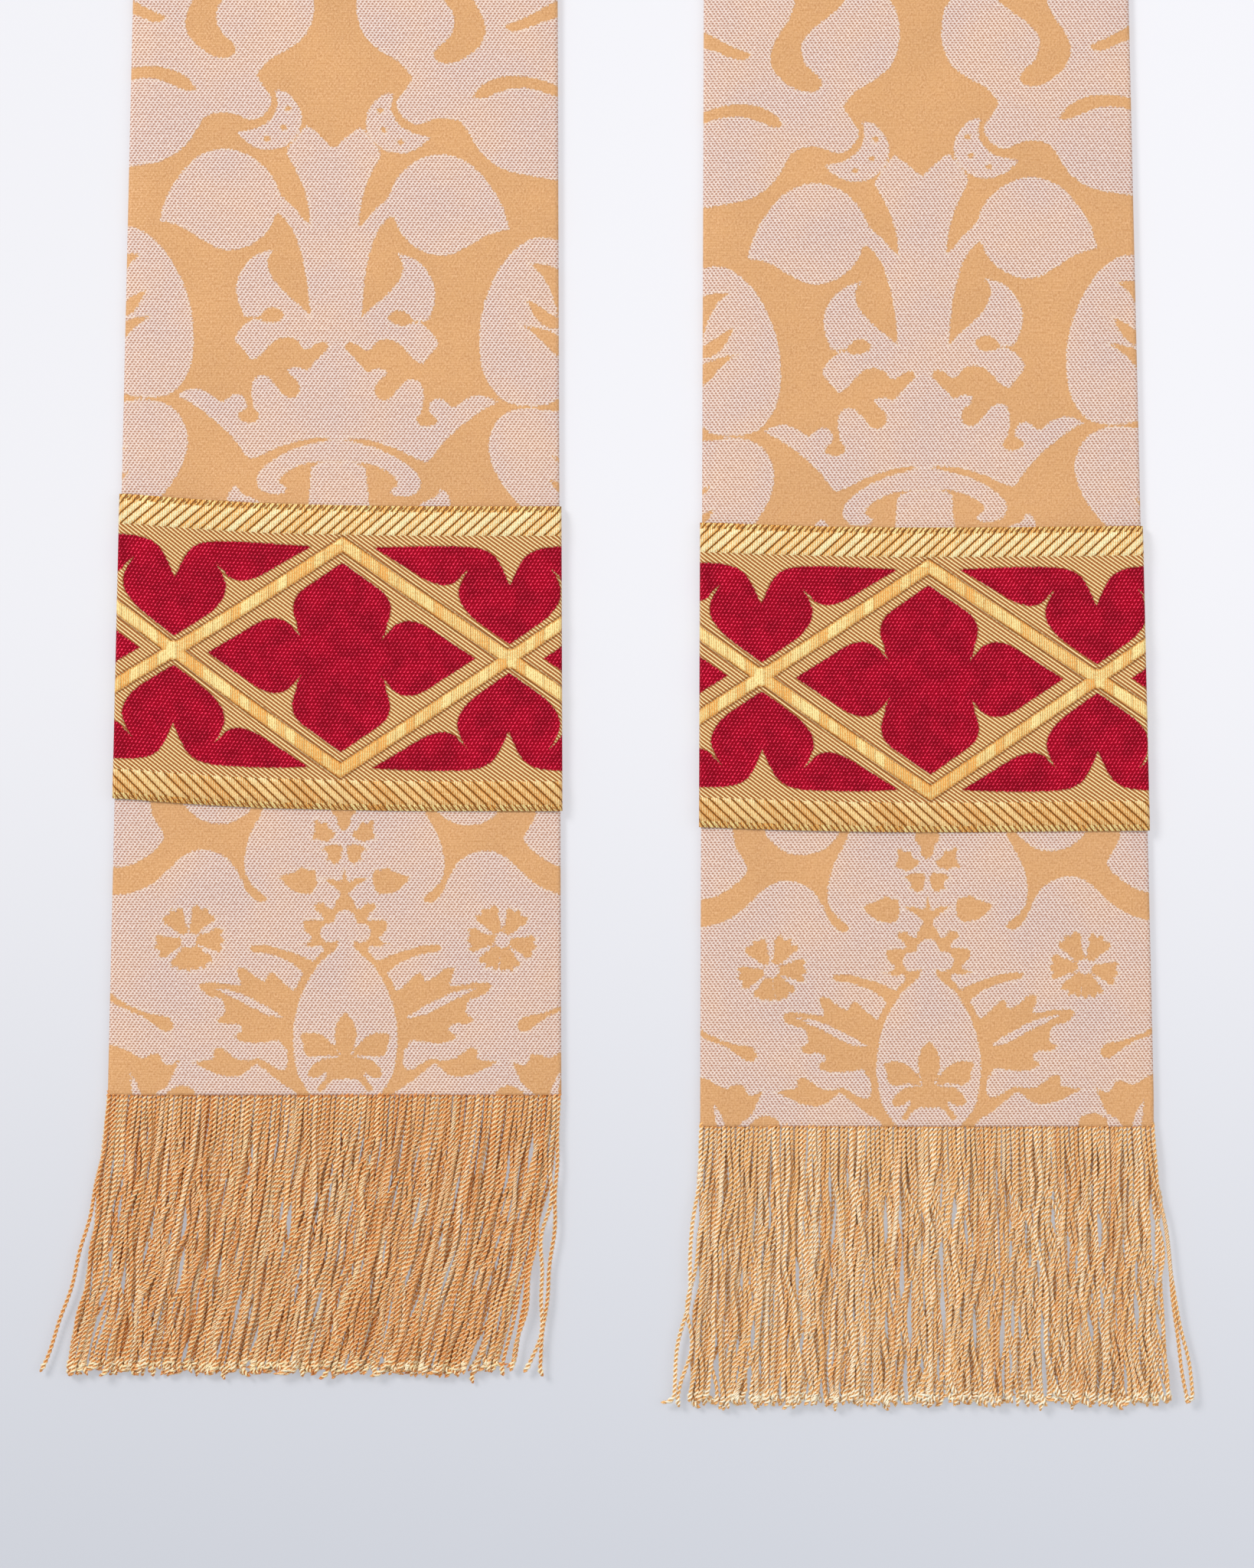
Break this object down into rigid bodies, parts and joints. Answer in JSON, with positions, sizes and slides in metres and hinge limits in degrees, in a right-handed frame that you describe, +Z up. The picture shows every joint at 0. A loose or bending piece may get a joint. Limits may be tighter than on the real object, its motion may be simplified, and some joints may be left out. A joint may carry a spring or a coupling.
{
  "type": "stole",
  "caption": "Priest's stole of two-tone damask laid flat and face up: two lined bands joined at the neck, each with a braid orphrey and a cord fringe.",
  "frame": {"origin": "centre of the stole's outline, on the surface that it lies on", "axes": "+Y from the fringed ends towards the neck, +Z up out of the face cloth, the neck seam lies in X = 0"},
  "size_m": [0.304, 1.3756, 0.0048],
  "materials": {
    "damask": "two-tone damask, satin gold ground with a matt pinkish white woven figure",
    "interlining": "plain woven linen canvas, matt",
    "lining": "plain gold satin, soft sheen",
    "heading_tape": "ribbed woven tape",
    "fringe": "two-ply twisted rayon cord, soft sheen",
    "orphrey": "woven braid of glossy gold and crimson yarn with raised bars",
    "thread": "sewing thread, soft sheen"
  },
  "bodies": {
    "right_half": {"damask_right": "damask", "interlining_right": "interlining", "lining_right": "lining", "fringe_heading_right": "heading_tape", "orphrey_right": "orphrey", "orphrey_lower_stitching_right": "thread", "orphrey_upper_stitching_right": "thread"},
    "left_half": {"damask_left": "damask", "interlining_left": "interlining", "lining_left": "lining", "fringe_heading_left": "heading_tape", "orphrey_left": "orphrey", "orphrey_lower_stitching_left": "thread", "orphrey_upper_stitching_left": "thread"},
    "left_fringe": {"fringe_skirt_left": "fringe"},
    "right_fringe": {"fringe_skirt_right": "fringe"}
  },
  "joints": [
    {"name": "neck_fold", "type": "hinge", "parent": "right_half", "child": "left_half", "pos_m": [0, 0.64185, 0.013], "axis": [0, 1, 0], "range_deg": [0, 178]},
    {"name": "left_fringe_swing", "type": "hinge", "parent": "left_half", "child": "left_fringe", "pos_m": [-0.079, -0.60315, 0.0034], "axis": [-1, 0, 0], "range_deg": [0, 178]},
    {"name": "right_fringe_swing", "type": "hinge", "parent": "right_half", "child": "right_fringe", "pos_m": [0.079, -0.61155, 0.0034], "axis": [-1, 0, 0], "range_deg": [0, 178]}
  ]
}
